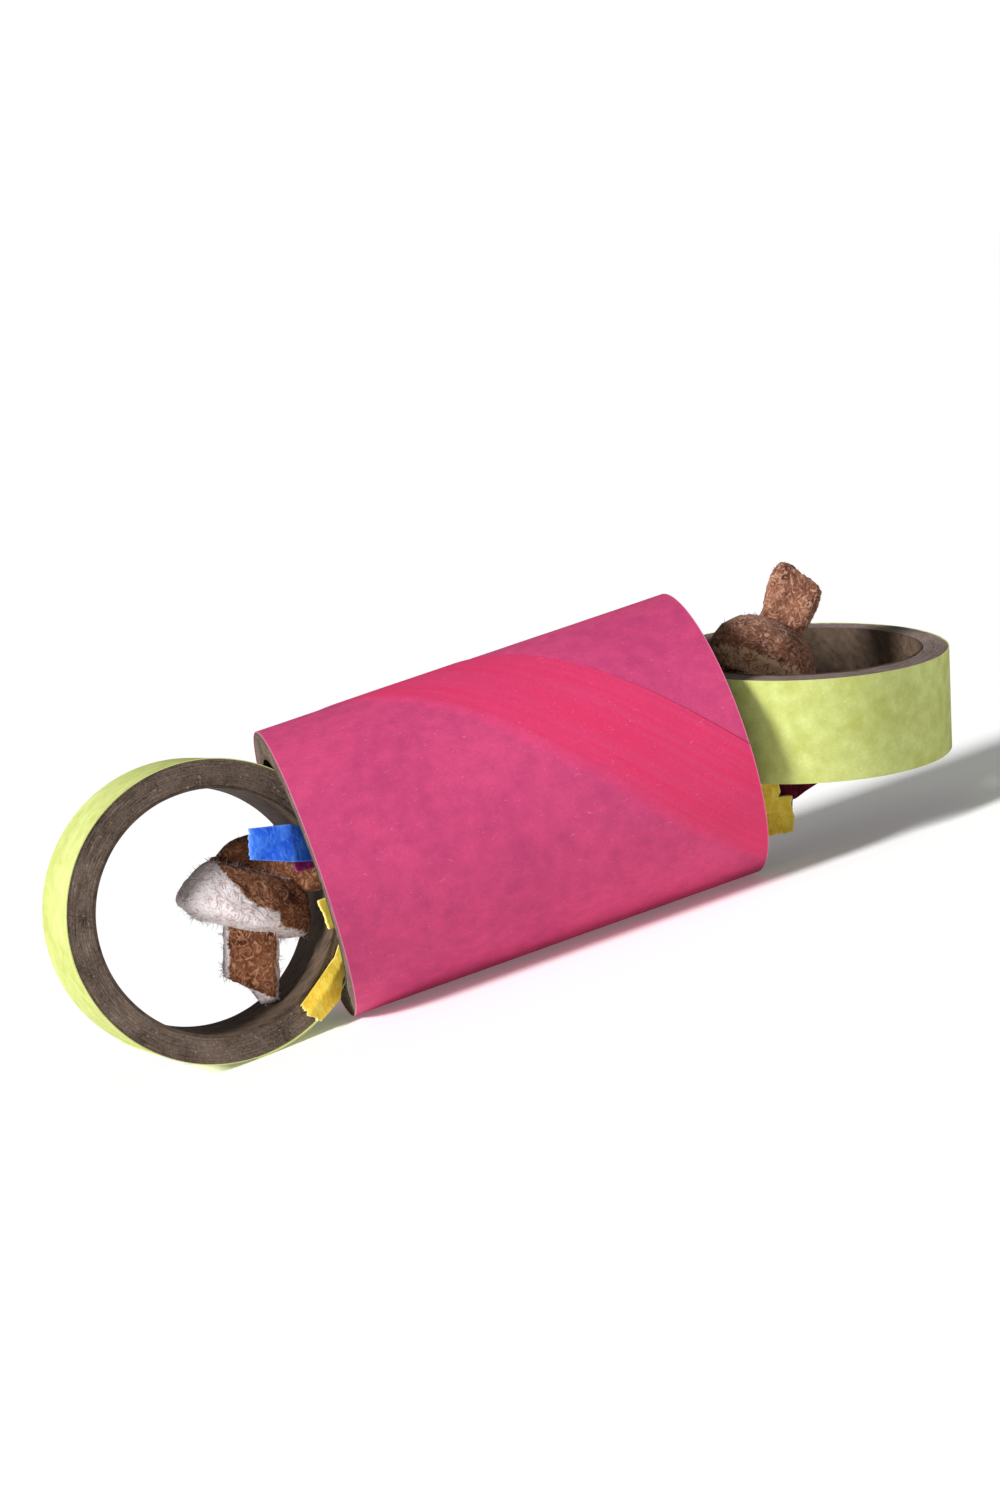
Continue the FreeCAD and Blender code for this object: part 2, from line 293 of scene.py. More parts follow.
tube_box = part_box("tube_wrap")
TUBE_LENGTH = tube_box[1].x - tube_box[0].x
tube_place = own_frame((0, 0, STOCK_RADIUS), (1, 0, 0), (0, 0, 1))
grey_board = board_finish("grey_board", linear(72, 59, 50), linear(132, 114, 101),
                          linear(186, 170, 150))
tube_core = wound_core("tube_core", STOCK_RADIUS - WRAP, BOARD, TUBE_LENGTH, 1)
finish_stock(tube_core, tube_place, grey_board)
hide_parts("tube_board")
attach(tube_core, "tube")


# ------------------------------------------------------------------ the tube's pink wrap
# One strip of dyed paper glued round the core on a slant. It laps over its own start: the cut
# edge shows as a crisp line of painted shadow beside its step, and the buried edge as a soft
# ridge with a redder band between.
LEAD = 0.397 * MM
LAP = 57.5
WRAP_SEAM = -1.3
EASE, WAVE, STREAK = 0.012 * MM, 0.035 * MM, 0.012 * MM


def soft_step(low, high, value):
    """0 below low, 1 above high, and a smooth rise between."""
    share = min(1.0, max(0.0, (value - low) / (high - low)))
    return share * share * (3 - 2 * share)


def wound_paper(name, radius, paper, length, seam, lap, seed, along):
    """A strip of paper wound on a slant, with its cut edge at the angle seam at mid length.

    It laps over its own start by lap degrees. A lap below zero leaves a butt joint. Along is how
    many steps it has along its length.
    """
    bpy.ops.object.select_all(action="DESELECT")
    bpy.ops.mesh.primitive_grid_add(x_subdivisions=400, y_subdivisions=along, size=1)
    strip = bpy.context.object
    strip.name = name
    away = Vector((seed * 3.7, seed * 5.1, seed * 9.2))
    for corner in strip.data.vertices:
        across = (corner.co.x + 0.5) * (360 + lap)
        height = corner.co.y * length
        angle = math.radians(seam + height / LEAD + across)
        out = radius
        if lap > 0:
            out -= paper * soft_step(lap - 5, lap + 3, across)
            out -= EASE * soft_step(350, 358, across)
        spot = Vector((math.cos(angle) * 3, math.sin(angle) * 3, height / MM * 0.09)) + away
        out -= WAVE * (noise.noise(spot) + 0.6)
        streak = Vector((across * 0.11, height / MM * 0.03, seed))
        out -= STREAK * (noise.noise(streak) + 0.6)
        corner.co = (out * math.cos(angle), out * math.sin(angle), height)
    solid = strip.modifiers.new("paper", "SOLIDIFY")
    solid.thickness = paper
    solid.offset = -1
    bpy.ops.object.modifier_apply(modifier=solid.name)
    bpy.ops.object.shade_smooth_by_angle(angle=SHARP)
    return strip


def dimmed(colour, share):
    """A colour turned down to a share of itself."""
    return tuple(share * part for part in colour[:3]) + (1.0,)


def paper_finish(name, base, shade, fleck, lapped, cut_edge, lap):
    """Dyed paper: soft mottling, pale fibres, faint wrinkles, a richer tone where it laps, painted
    shadow along the lap's edge, and a pale cut edge with a painted highlight.
    """
    finish, tree, shader = new_finish(name, 0.72, 0.3)
    places = add_node(tree, "TexCoord")
    here, sheet = places.outputs["Object"], places.outputs["UV"]
    split = add_node(tree, "SeparateXYZ", {"Vector": sheet})
    mottle = grain(tree, here, 55.0, 6.0)
    cloud = grain(tree, here, 380.0, 5.0)
    grit = grain(tree, here, 1900.0, 3.0)
    streaks = grain(tree, stretched(tree, sheet, (150.0, 3.5, 1.0)), 1.0, 4.0, 0.4)
    tone = worked(tree, "ADD", mottle, cloud)
    colour = tinted(tree, spread(tree, tone, 0.75, 1.25), shade, base)
    if lap > 0:
        share = lap / (360 + lap)
        wander = worked(tree, "MULTIPLY", grain(tree, here, 60.0, 2.0), 0.02)
        seen = worked(tree, "SUBTRACT", split.outputs[0], wander)
        band = add_node(tree, "MapRange", {"Value": seen, "From Min": share - 0.002,
                                           "From Max": share - 0.028}).outputs[0]
        rich = tinted(tree, spread(tree, streaks, 0.35, 1.1), lapped, base)
        colour = tinted(tree, spread(tree, band, 0.0, 1.0, 0.85), colour, rich)
        # A thin dark line along the lapping edge: painted shadow of the step that the top layer
        # makes there.
        beyond = worked(tree, "SUBTRACT", split.outputs[0], 360 / (360 + lap))
        beyond = worked(tree, "ABSOLUTE", beyond)
        line = add_node(tree, "MapRange", {"Value": beyond, "From Min": 0.0013,
                                           "From Max": 0.0003, "To Max": 0.8}).outputs[0]
        colour = tinted(tree, line, colour, dimmed(shade, 0.25))
    colour = tinted(tree, spread(tree, grit, 0.35, 0.75, 0.22), colour, dimmed(base, 0.5))
    fibres = grain(tree, stretched(tree, here, (0.4, 1.0, 1.0)), 2700.0, 1.0, 1.5)
    colour = tinted(tree, spread(tree, fibres, 0.70, 0.78, 0.4), colour, fleck)
    # The rim faces of the paper are painted paler: partly the paper's own pale cut edge, and
    # partly a painted highlight where the rim would catch the light.
    middle = worked(tree, "SUBTRACT", split.outputs[1], 0.5)
    middle = worked(tree, "ABSOLUTE", middle)
    colour = tinted(tree, spread(tree, middle, 0.4970, 0.4998, 0.6), colour, cut_edge)
    tree.links.new(colour, shader.inputs["Base Color"])
    bump = raised(tree, streaks, 0.35, 0.06 * MM)
    bump = raised(tree, cloud, 0.35, 0.05 * MM, bump)
    bump = raised(tree, grit, 0.4, 0.03 * MM, bump)
    tree.links.new(bump, shader.inputs["Normal"])
    return finish


pink_paper = paper_finish("pink_paper", linear(212, 72, 122), linear(188, 60, 112),
                          linear(236, 140, 170), linear(224, 46, 96), linear(240, 150, 182), LAP)
tube_wrap = wound_paper("pink_wrap", STOCK_RADIUS, WRAP / 2, TUBE_LENGTH, WRAP_SEAM, LAP, 1,
                        along=60)
finish_stock(tube_wrap, tube_place, pink_paper)
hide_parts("tube_wrap")
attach(tube_wrap, "tube")


# ------------------------------------------------------------------ the tube's inner liner
# The smooth brown ply that the winding starts on. Its edges butt, and leave a fine spiral
# line down the bore.
LINER_RADIUS = STOCK_RADIUS - WRAP - BOARD
BORE_SEAM, BUTT = 140, -0.5


def liner_finish(name, dark, pale):
    """Brown kraft ply: mottled and fibrous, with a dull skin."""
    finish, tree, shader = new_finish(name, 0.8, 0.25)
    places = add_node(tree, "TexCoord")
    here, sheet = places.outputs["Object"], places.outputs["UV"]
    blotch = grain(tree, here, 160.0, 6.0)
    cloud = grain(tree, here, 620.0, 5.0, 0.6)
    grit = grain(tree, here, 2400.0, 3.0)
    streaks = grain(tree, stretched(tree, sheet, (90.0, 6.0, 1.0)), 1.0, 4.0, 0.6)
    tone = worked(tree, "ADD", blotch, cloud)
    tone = worked(tree, "ADD", tone, streaks)
    colour = tinted(tree, spread(tree, tone, 1.1, 1.9), dark, pale)
    colour = tinted(tree, spread(tree, grit, 0.45, 0.8, 0.35), colour, pale)
    tree.links.new(colour, shader.inputs["Base Color"])
    bump = raised(tree, cloud, 0.5, 0.12 * MM)
    bump = raised(tree, grit, 0.5, 0.05 * MM, bump)
    tree.links.new(bump, shader.inputs["Normal"])
    return finish


kraft_liner = liner_finish("kraft_liner", linear(56, 43, 33), linear(106, 88, 72))
tube_liner = wound_paper("tube_bore_ply", LINER_RADIUS, LINER, TUBE_LENGTH, BORE_SEAM, BUTT, 4,
                         along=30)
finish_stock(tube_liner, tube_place, kraft_liner)
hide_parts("tube_liner")
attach(tube_liner, "tube")


# ------------------------------------------------------------------ the two rings
# Short slices of the same stock, wrapped in yellow-green paper. Each is punched once through
# the wall for the lace, and is lodged in a mouth of the tube with the punched side inwards.
RING_WIDTH = 17.5 * MM
NECK_HOLE = 3.95 * MM
PUNCH_AT, PUNCH_DEPTH = 23 * MM, 12 * MM
PLY_TURN = 60


def punch(piece):
    """The lace hole, through the wall on the piece's own X side."""
    bpy.ops.object.select_all(action="DESELECT")
    bpy.ops.mesh.primitive_cylinder_add(vertices=56, radius=NECK_HOLE, depth=PUNCH_DEPTH)
    tool = bpy.context.object
    tool.data.transform(Matrix.Translation((PUNCH_AT, 0, 0))
                        @ Matrix.Rotation(math.pi / 2, 4, "Y"))
    bpy.ops.object.select_all(action="DESELECT")
    piece.select_set(True)
    bpy.context.view_layer.objects.active = piece
    hole = piece.modifiers.new("lace hole", "BOOLEAN")
    hole.operation = "DIFFERENCE"
    hole.solver = "EXACT"
    hole.object = tool
    bpy.ops.object.modifier_apply(modifier=hole.name)
    bpy.data.objects.remove(tool)
    bpy.ops.object.shade_smooth_by_angle(angle=SHARP)


lime_paper = paper_finish("lime_paper", linear(210, 220, 138), linear(184, 190, 98),
                          linear(240, 244, 190), linear(210, 214, 104), linear(226, 232, 150), LAP)
taupe_board = board_finish("taupe_board", linear(112, 96, 90), linear(150, 132, 126),
                           linear(190, 176, 166))
joints = {joint["name"]: joint for joint in frame["joints"]}
loops = {mount["name"]: mount for mount in frame["record"]["mounts"]}
ring_place = {}
for side, seam, seed, board in (("left", -115, 2, grey_board), ("right", -130, 3, taupe_board)):
    swivel = joints[f"{side}_ring_swivel"]
    place = own_frame(swivel["pos_m"], loops[f"{side}_ring_loop"]["axis"], swivel["axis"])
    ring_place[side] = place
    body = f"{side}_ring"
    core = wound_core(f"{side}_ring_core", STOCK_RADIUS - WRAP, BOARD, RING_WIDTH, seed)
    punch(core)
    finish_stock(core, place, board)
    wrap = wound_paper(f"{side}_lime_wrap", STOCK_RADIUS, WRAP / 2, RING_WIDTH, seam, LAP, seed,
                       along=24)
    punch(wrap)
    finish_stock(wrap, place, lime_paper)
    ply = wound_paper(f"{side}_ring_bore_ply", LINER_RADIUS, LINER, RING_WIDTH, seam + PLY_TURN,
                      BUTT, seed + 4, along=20)
    punch(ply)
    finish_stock(ply, place, kraft_liner)
    for piece, slot, node in ((core, "board", f"{body}_board"),
                              (wrap, "yellow_paper", f"{body}_wrap"),
                              (ply, "liner", f"{body}_liner")):
        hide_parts(node)
        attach(piece, body)


# ------------------------------------------------------------------ the knots in the lace
# Thick suede strip, 9 mm wide and 4.5 mm thick, with a brown nap and pale, furry cut edges. It
# comes in through the ring's hole, turns once round itself, and ends in a short tail.
LACE_WIDTH, LACE_THICK, LACE_CORNER = 9.0, 4.5, 1.25
NECK = 7.2
CAPS = ((0.35, 0.93), (0.6, 0.7), (0.68, 0.38))
TURN_STEPS, STATION_GAP = 110, 0.42


def section(width, thick, corner, crown):
    """Points round a flat lace: (across, up, outward across, outward up, share of cut edge).

    The upper face swells by crown in the middle.
    """
    corner = min(corner, width / 2, thick / 2)
    long_half, short_half = width / 2 - corner, thick / 2 - corner
    points = []
    for turn, (cx, cy) in enumerate(((1, 1), (-1, 1), (-1, -1), (1, -1))):
        for step in range(6):
            angle = math.radians(90 * turn + 90 * step / 5)
            along_x, along_y = math.cos(angle), math.sin(angle)
            points.append((cx * long_half + corner * along_x, cy * short_half + corner * along_y,
                           along_x, along_y, abs(along_x)))
        steps = 13 if turn in (0, 2) else 5
        for step in range(1, steps):
            share = 1 - 2 * step / steps
            if turn in (0, 2):
                up = 1 if turn == 0 else -1
                points.append((cx * long_half * share, up * thick / 2, 0, up, 0.0))
            else:
                out = -1 if turn == 1 else 1
                points.append((out * width / 2, cy * short_half * share, out, 0, 1.0))
    return [(x, y + crown * max(0.0, y / thick * 2) * (1 - (2 * x / width) ** 2), nx, ny, cut)
            for x, y, nx, ny, cut in points]


def through(values, share):
    """A point on the smooth line through a list of values, for a share from 0 to 1."""
    spot = share * (len(values) - 1)
    first = min(int(spot), len(values) - 2)
    t = spot - first
    a, b = values[max(first - 1, 0)], values[first]
    c, d = values[first + 1], values[min(first + 2, len(values) - 1)]
    return 0.5 * (2 * b + (c - a) * t + (2 * a - 5 * b + 4 * c - d) * t * t
                  + (3 * b - a - 3 * c + d) * t * t * t)


def new_pile():
    """An empty pile of points and faces."""
    return {"points": [], "faces": [], "cut": [], "grain": []}


def lay_lace(pile, stations, seed, closed=False, crown=0.3, slant=0.0, fur=1.0, bare=None):
    """Add a length of lace to a pile of points and faces.

    Each station is (centre, across, width, thickness) in millimetres. A closed one is a turn.
    The last end may be cut on a slant, fur is how pale its cut edges are, and bare says how far
    the pale flesh side shows at a share of the length and a place across.
    """
    rings = []
    count = len(stations)
    for index, (centre, across, width, thick) in enumerate(stations):
        before = stations[index - 1 if index or closed else 0][0]
        after = stations[(index + 1) % count if closed else min(index + 1, count - 1)][0]
        run = (after - before).normalized()
        side = (across - run * across.dot(run)).normalized()
        rings.append((centre, run, side, run.cross(side), width, thick, 1.0, 0.0))
    if not closed:
        for end, sign in ((0, -1), (-1, 1)):
            centre, run, side, up, width, thick, _, _ = rings[end]
            for push, shrink in CAPS:
                cap = (centre + run * sign * push, run, side, up, width, thick, shrink, 1.0)
                if sign < 0:
                    rings.insert(0, cap)
                else:
                    rings.append(cap)
    start = len(pile["points"])
    away = Vector((seed * 11.0, seed * 3.0, seed * 7.0))
    length = 0.0
    last = None
    for number, (centre, run, side, up, width, thick, shrink, cap) in enumerate(rings):
        ending = 0.0 if closed else max(0.0, 1 - (len(rings) - 1 - number) / 14)
        length += (centre - last).length if last else 0.0
        last = centre
        for x, y, nx, ny, cut in section(width, thick, LACE_CORNER, crown):
            if width - thick < 0.5:  # squeezed square, so its cut edges hardly show
                cut *= 0.35
            point = centre + (side * x + up * y) * shrink
            point += run * slant * ending * 2 * x / width
            out = (side * nx + up * ny).normalized()
            edge = max(cut, cap)
            lift = 0.20 * noise.noise(point * 0.45 + away) + 0.13 * noise.noise(point * 1.3 + away)
            lift += (0.05 + 0.12 * edge) * noise.noise(point * 3.1 - away)
            if cap:
                point += run * 0.35 * noise.noise(point * 1.7 + away)
            pile["points"].append(point + out * lift)
            if bare:
                edge = max(edge, bare(number / len(rings), 2 * x / width))
            pile["cut"].append(edge * fur)
            pile["grain"].append((length, x, y))
    size = len(section(LACE_WIDTH, LACE_THICK, LACE_CORNER, crown))
    total = len(rings)
    for row in range(total if closed else total - 1):
        here, there = start + row * size, start + (row + 1) % total * size
        for spot in range(size):
            beside = (spot + 1) % size
            pile["faces"].append((here + spot, here + beside, there + beside, there + spot))
    if not closed:
        pile["faces"].append(tuple(start + spot for spot in reversed(range(size))))
        pile["faces"].append(tuple(start + (total - 1) * size + spot for spot in range(size)))


def fair(stations):
    """More stations, along the smooth line through a few."""
    length = sum((b[0] - a[0]).length for a, b in zip(stations, stations[1:]))
    count = max(4, int(length / STATION_GAP))
    return [tuple(through([station[part] for station in stations], index / count)
                  for part in range(4)) for index in range(count + 1)]


def round_turn(centre, axis, long_way, half_long, half_short, lean, width, thick):
    """A closed turn of lace round an axis, its face leaning over towards the axis.

    Lean is the angle at the far end of the long way, and at the near end.
    """
    axis = Vector(axis).normalized()
    long_way = (Vector(long_way) - axis * axis.dot(Vector(long_way))).normalized()
    short_way = axis.cross(long_way)
    stations = []
    for step in range(TURN_STEPS):
        angle = 2 * math.pi * step / TURN_STEPS
        spot = Vector(centre) + long_way * half_long * math.cos(angle)
        spot += short_way * half_short * math.sin(angle)
        out = long_way * math.cos(angle) + short_way * math.sin(angle)
        tilt = math.radians(lean[0] + (lean[1] - lean[0]) * (1 - math.cos(angle)) / 2)
        across = axis * math.cos(tilt) - out * math.sin(tilt)
        stations.append((spot, across, width, thick))
    return stations


def make_lace(name, pile, place, finish, fibres, seed):
    """Turn a pile into a mesh, raise loose fibres from it, and put it in place."""
    mesh = bpy.data.meshes.new(name)
    mesh.from_pydata(pile["points"], [], pile["faces"])
    shape = bmesh.new()
    shape.from_mesh(mesh)
    bmesh.ops.recalc_face_normals(shape, faces=shape.faces)
    shape.to_mesh(mesh)
    shape.free()
    chance = random.Random(seed)
    points, faces = [], []
    cut, run = list(pile["cut"]), list(pile["grain"])
    big = [face for face in mesh.polygons if len(face.vertices) == 4]
    for _ in range(fibres):
        face = big[chance.randrange(len(big))]
        near = face.vertices[0]
        edge = pile["cut"][near]
        if edge < 0.5 and chance.random() < 0.35:
            continue
        foot = Vector(face.center)
        lean = Vector([chance.uniform(-1, 1) for _ in range(3)])
        way = (face.normal * (0.55 + 0.5 * edge) + lean * 0.75).normalized()
        bend = Vector([chance.uniform(-1, 1) for _ in range(3)]) * 0.25
        reach = chance.uniform(0.35, 0.8) * (1.0 + 0.7 * edge)
        thin = chance.uniform(0.03, 0.055)
        side = way.orthogonal().normalized()
        other = way.cross(side)
        base = len(pile["points"]) + len(points)
        for height, size in ((-0.1, 1.0), (0.55, 0.75)):
            spot = foot + way * reach * height + bend * reach * max(height, 0) ** 2
            for turn in range(3):
                angle = 2 * math.pi * turn / 3
                points.append(spot + (side * math.cos(angle) + other * math.sin(angle))
                              * thin * size)
        points.append(foot + way * reach + bend * reach)
        for turn in range(3):
            nxt = (turn + 1) % 3
            faces.append((base + turn, base + nxt, base + 3 + nxt, base + 3 + turn))
            faces.append((base + 3 + turn, base + 3 + nxt, base + 6))
        faces.append((base + 2, base + 1, base))
        grown = len(pile["points"]) + len(points) - base
        cut += [edge] * grown
        run += [pile["grain"][near]] * grown
    start = [tuple(face.vertices) for face in mesh.polygons]
    whole = bpy.data.meshes.new(name)
    whole.from_pydata(pile["points"] + points, [], start + faces)
    bpy.data.meshes.remove(mesh)
    edges = whole.attributes.new("cut_edge", "FLOAT", "POINT")
    edges.data.foreach_set("value", cut)
    lie = whole.attributes.new("lie", "FLOAT_VECTOR", "POINT")
    lie.data.foreach_set("vector", [part for spot in run for part in spot])
    whole.transform(place @ Matrix.Scale(MM, 4))
    for face in whole.polygons:
        face.use_smooth = True
    whole.materials.append(finish)
    lace = bpy.data.objects.new(name, whole)
    bpy.context.scene.collection.objects.link(lace)
    return lace


def suede_finish(name, dark, mid, light, pale, fur):
    """Suede: short nap with streaks of painted highlight, and furry pale cut edges."""
    finish, tree, shader = new_finish(name, 0.95, 0.12)
    shader.inputs["Sheen Weight"].default_value = 0.12
    shader.inputs["Sheen Roughness"].default_value = 0.6
    here = add_node(tree, "TexCoord").outputs["Object"]
    lie = add_node(tree, "Attribute", attribute_name="lie").outputs["Vector"]
    edge = add_node(tree, "Attribute", attribute_name="cut_edge").outputs["Fac"]
    nap = grain(tree, stretched(tree, lie, (0.5, 2.4, 2.4)), 1.0, 6.0, 1.4)
    curl = grain(tree, here, 620.0, 7.0, 2.6)
    blotch = grain(tree, here, 260.0, 4.0)
    hair = grain(tree, here, 2600.0, 3.0, 1.0)
    tone = worked(tree, "ADD", nap, curl)
    tone = worked(tree, "ADD", tone, blotch)
    colour = tinted(tree, spread(tree, tone, 1.15, 1.55), dark, mid)
    # Streaks of painted highlight in the nap, where it would catch the light.
    colour = tinted(tree, spread(tree, curl, 0.5, 0.7), colour, light)
    worn = tinted(tree, spread(tree, curl, 0.38, 0.5), fur, pale)
    ragged = worked(tree, "ADD", blotch, curl)
    ragged = add_node(tree, "MapRange", {"Value": ragged, "From Min": 0.7, "From Max": 1.3,
                                         "To Min": -0.3, "To Max": 0.3}).outputs[0]
    share = worked(tree, "ADD", edge, ragged)
    colour = tinted(tree, spread(tree, share, 0.38, 0.72), colour, worn)
    tree.links.new(colour, shader.inputs["Base Color"])
    bump = raised(tree, nap, 0.6, 0.25 * MM)
    bump = raised(tree, curl, 0.9, 0.35 * MM, bump)
    bump = raised(tree, hair, 0.6, 0.08 * MM, bump)
    tree.links.new(bump, shader.inputs["Normal"])
    return finish


def vec(*parts):
    """A short way to write a point or a direction."""
    return Vector(parts)


# The third colour is the painted highlight in the nap.
brown_suede = suede_finish("brown_suede", linear(80, 40, 22), linear(150, 94, 62),
                           linear(214, 160, 124), linear(255, 246, 246), linear(226, 196, 194))
pile = new_pile()
LEFT_SLOPE = math.radians(32)
LEFT_STRAP = [(vec(5.6, 2.6, -2.4), vec(0.06, 1.0, 0), 9.4, 4.0),
              (vec(7.4, 3.0, -2.3), vec(-0.02, 1.0, 0), 8.6, 4.1),
              (vec(9.8, 4.4, -2.1), vec(-0.2, 0.98, 0), 8.8, 4.2),
              (vec(13.4, 3.8, -1.0), vec(0.4, 0.92, 0), 8.8, 4.8),
              (vec(16.8, 1.0, -0.3), vec(0.15, 0.98, 0), 7.6, 6.2),
              (vec(19.4, 0.1, 0), vec(0, 1, 0), NECK, 7.1),
              (vec(22.5, 0, 0), vec(0, 1, 0), NECK, NECK),
              (vec(24.9, 0, 0), vec(0, 1, 0), NECK, NECK)]
LEFT_TAIL = [(vec(7.6, -1.6, 0.6), vec(0.93, -0.3, 0.2), 8.6, 4.5),
             (vec(6.6, -5.2, 0.9), vec(0.93, -0.3, 0.14), 8.9, 4.5),
             (vec(5.4, -9.2, 0.9), vec(0.945, -0.3, 0.10), 9.1, 4.4),
             (vec(4.1, -13.0, 0.7), vec(0.94, -0.33, 0.10), 9.3, 4.2),
             (vec(3.5, -15.0, 0.5), vec(0.95, -0.30, 0.10), 9.0, 3.8)]


def left_lobe(share, place):
    """The turn shows its pale side all over its left end, and less and less towards the right."""
    turn = 360 * share
    if not 130 < turn < 300:
        return 0.0
    limit = 1.25 - 1.75 * soft_step(176, 285, turn)
    return soft_step(-0.2, 0.2, limit - place)


lay_lace(pile, round_turn((7.7, -1.1, 0.2), (math.sin(LEFT_SLOPE), math.cos(LEFT_SLOPE), 0),
                          (math.cos(LEFT_SLOPE), -math.sin(LEFT_SLOPE), 0), half_long=7.6,
                          half_short=2.5, lean=(20, 28), width=9.6, thick=5.2),
         closed=True, seed=1, crown=0.8, bare=left_lobe)
lay_lace(pile, fair(LEFT_STRAP), seed=2, fur=0.35)
lay_lace(pile, fair(LEFT_TAIL), seed=3, slant=2.5)
left_knot = make_lace("left_suede_knot", pile, ring_place["left"], brown_suede, 1500, 5)
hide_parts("left_knot")
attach(left_knot, "left_knot")

# The third colour is the painted highlight in the nap.
tan_suede = suede_finish("tan_suede", linear(86, 48, 34), linear(152, 100, 76),
                         linear(216, 166, 140), linear(228, 186, 150), linear(164, 116, 84))
pile = new_pile()
tail_way = vec(-0.471, -0.381, 0.795).normalized()
broad = vec(-0.866, 0.376, -0.333)
tip_way = (tail_way + broad * 0.13).normalized()
heading = (Matrix.Rotation(math.radians(-141), 3, "Z")
           @ Matrix.Rotation(math.radians(37.3), 3, "Y")
           @ Matrix.Rotation(math.radians(141), 3, "Z"))
knot_middle = vec(7.6, 0.5, 7.2)
RIGHT_STRAP = [(vec(8.6, 0.9, 6.4), vec(0, 1, 0.1), 8.4, 4.4),
               (vec(11.5, 0.8, 4.6), vec(0, 1, 0.1), 8.6, 4.6),
               (vec(14.6, 0.4, 2.2), vec(0, 1, 0.05), 8.2, 5.2),
               (vec(17.4, 0.1, 0.6), vec(0, 1, 0), 7.4, 6.6),
               (vec(20.0, 0, 0), vec(0, 1, 0), NECK, NECK),
               (vec(24.9, 0, 0), vec(0, 1, 0), NECK, NECK)]
RIGHT_TAIL = [(knot_middle + tip_way * 1.0, broad, 7.4, 4.8),
              (knot_middle + tip_way * 5.5, broad, 7.6, 4.8),
              (knot_middle + tip_way * 9.0 + broad * 0.3, broad, 8.0, 4.7),
              (knot_middle + tip_way * 12.5, broad, 9.0, 4.6),
              (knot_middle + tip_way * 15.8 - broad * 0.5, broad, 9.2, 4.4),
              (knot_middle + tip_way * 17.4 - broad * 0.7, broad, 8.2, 4.0)]
lay_lace(pile, round_turn(knot_middle + tail_way * 1.9, tail_way, heading @ vec(1, 0, 0),
                          half_long=4.7, half_short=2.6, lean=(32, 32), width=10.8, thick=5.0),
         closed=True, seed=4, crown=2.0)
lay_lace(pile, fair(RIGHT_STRAP), seed=5)
lay_lace(pile, fair(RIGHT_TAIL), seed=6, crown=1.4, slant=-1.2, fur=0.3)
right_knot = make_lace("right_suede_knot", pile, ring_place["right"], tan_suede, 1500, 6)
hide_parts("right_knot")
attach(right_knot, "right_knot")

# ------------------------------------------------------------------ the lace inside the tube
# The same suede strip, pulled tight through the middle of the tube. It is squeezed square where
# it leaves through each ring's hole, and lies flat between.
pile = new_pile()
left_x = ring_place["left"].to_3x3() @ vec(1, 0, 0)
right_x = ring_place["right"].to_3x3() @ vec(1, 0, 0)
left_start = ring_place["left"].translation / MM
right_start = ring_place["right"].translation / MM
crosswise = vec(0, 1, 0)
lay_lace(pile, fair([(left_start + left_x * 26.2, crosswise, NECK, NECK),
                     (left_start + left_x * 29.4, crosswise, 7.3, 6.8),
                     (left_start + left_x * 33.0 + vec(0, 0, 0.6), crosswise, 8.4, 5.2),
                     (vec(-10, 2.4, 28.4), crosswise, 8.9, 4.3),
                     (vec(8, 0.8, 30.6), crosswise, 8.9, 4.3),
                     (right_start + right_x * 33.0 - vec(0, 0, 0.4), crosswise, 8.4, 5.2),
                     (right_start + right_x * 29.4, crosswise, 7.3, 6.8),
                     (right_start + right_x * 26.2, crosswise, NECK, NECK)]), seed=7)
lace_run = make_lace("suede_run", pile, Matrix.Identity(4), brown_suede, 300, 7)
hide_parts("lace_run")
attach(lace_run, "tube")


# ------------------------------------------------------------------ card in the left mouth
# Torn strips of soft dyed card, folded and pushed in beside the ring: blue over magenta near
# the top, a yellow one that only peeks out, and a creased yellow one with a torn end below.
CARD_THICK, SOFT_EDGE = 0.85 * MM, 0.14 * MM
CELLS_ALONG, CELLS_ACROSS = 10, 12
END_RAG, SIDE_RAG = 0.35, 0.3


def card_finish(name, base, shade, light):
    """Soft dyed card: felted fibres, a chalky bloom, and paler where it is torn or folded."""
    finish, tree, shader = new_finish(name, 0.9, 0.15)
    here = add_node(tree, "TexCoord").outputs["Object"]
    torn = add_node(tree, "Attribute", attribute_name="torn").outputs["Fac"]
    cloud = grain(tree, here, 420.0, 5.0, 0.5)
    felt = grain(tree, stretched(tree, here, (1.0, 1.0, 0.45)), 1500.0, 5.0, 1.2)
    tone = worked(tree, "ADD", cloud, felt)
    colour = tinted(tree, spread(tree, tone, 0.78, 1.22), shade, base)
    colour = tinted(tree, spread(tree, felt, 0.56, 0.78, 0.5), colour, light)
    colour = tinted(tree, spread(tree, torn, 0.35, 1.0, 0.5), colour, light)
    tree.links.new(colour, shader.inputs["Base Color"])
    bump = raised(tree, felt, 0.6, 0.10 * MM)
    bump = raised(tree, cloud, 0.4, 0.12 * MM, bump)
    tree.links.new(bump, shader.inputs["Normal"])
    return finish


